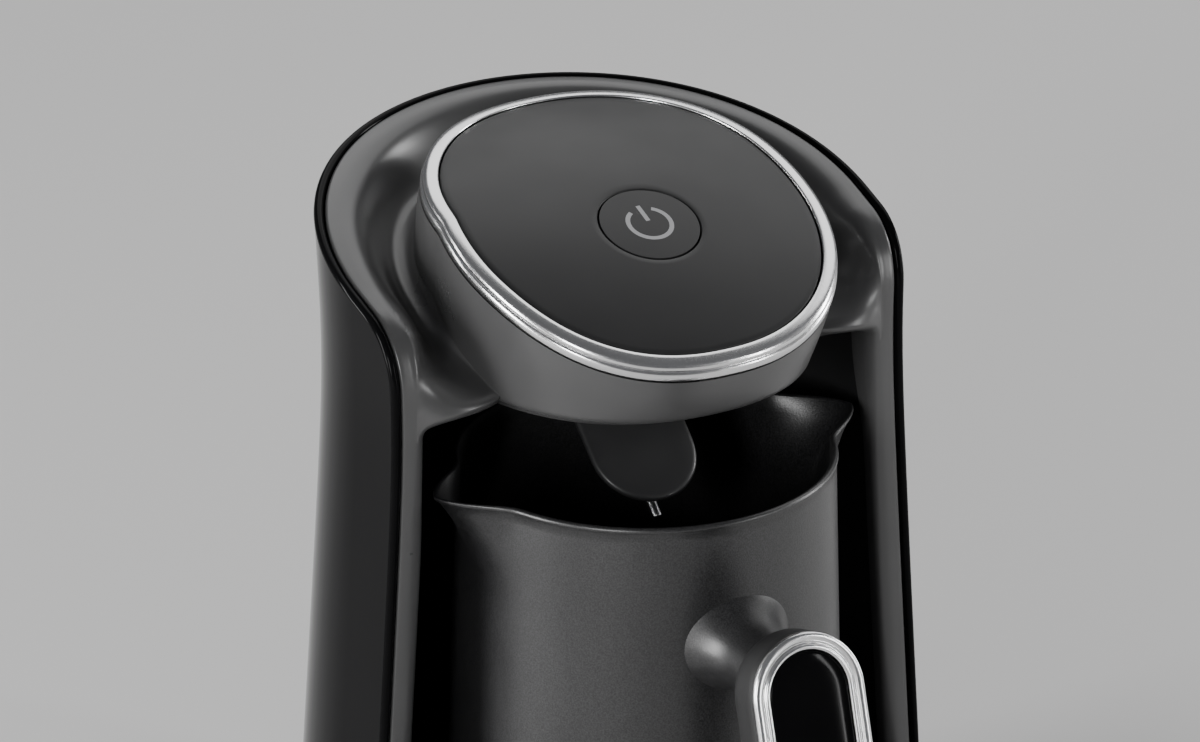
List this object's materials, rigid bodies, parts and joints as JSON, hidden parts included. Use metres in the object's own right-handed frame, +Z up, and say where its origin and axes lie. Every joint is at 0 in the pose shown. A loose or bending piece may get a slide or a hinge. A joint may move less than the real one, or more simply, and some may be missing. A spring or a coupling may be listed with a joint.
{
  "type": "electric coffee maker",
  "caption": "Small electric coffee maker: round-backed tower with a domed head and one button over a heated base, and a lift-out pot with a pouring lip on each side.",
  "frame": {"origin": "centre of the bounding box's bottom face, on the table under the appliance", "axes": "+Z up; -Y is the front, where the pot and its handle are; +X is to the right for someone who stands in front and looks at the handle; the machine is symmetric in X"},
  "size_m": [0.1568, 0.1916, 0.2184],
  "materials": {
    "gloss_black": "polished black",
    "satin_grey": "satin dark grey",
    "matt_black": "fine matt black",
    "gloss_grey": "glossy graphite",
    "chrome": "polished",
    "pale_print": "pale grey inlay",
    "steel": "plain steel",
    "board_green": "circuit board",
    "clear_plastic": "frosted light pipe",
    "flap_rubber": "dark satin silicone",
    "foot_rubber": "black rubber",
    "heater_metal": "dark anodised",
    "pot_coating": "satin black non-stick with a fine sparkle"
  },
  "bodies": {
    "appliance": {"outer_shell": "gloss_black", "front_shell": "satin_grey", "bay_liner": "matt_black", "head_underside_cover": "matt_black", "head_screws": "steel", "top_plate": "gloss_grey", "chrome_ring": "chrome", "button_guide": "matt_black", "button_spring": "steel", "tact_switch": "matt_black", "control_board": "board_green", "board_posts": "matt_black", "indicator_light": "clear_plastic", "buzzer": "matt_black", "sensor_flap": "flap_rubber", "sensor_probe": "steel", "sensor_holder": "matt_black", "base_housing": "matt_black", "base_plate": "matt_black", "rubber_feet": "foot_rubber", "base_screws": "steel", "heater_plate": "heater_metal", "heating_element": "heater_metal", "thermostat": "matt_black", "heater_bracket": "steel", "main_board": "board_green", "board_standoffs": "matt_black", "power_components": "matt_black", "cord_gland": "foot_rubber", "wire_loom": "foot_rubber"},
    "button": {"power_button": "gloss_grey", "power_symbol": "pale_print"},
    "pot": {"pot_body": "pot_coating", "handle_neck": "pot_coating", "handle_grip": "matt_black", "handle_trim": "chrome", "handle_insert": "gloss_black", "handle_screw": "steel"}
  },
  "joints": [
    {"name": "power_button_press", "type": "slide", "parent": "appliance", "child": "button", "axis": [0, 0.3453, -0.9385], "range_m": [0, 0.0008], "stiffness_N_per_m": 1500, "springref_m": -0.0004, "deforming": ["button_spring"]},
    {"name": "pot_slide", "type": "slide", "parent": "appliance", "child": "pot", "axis": [0, -1, 0], "range_m": [0, 0.16], "deforming": ["sensor_flap", "sensor_probe"]}
  ]
}
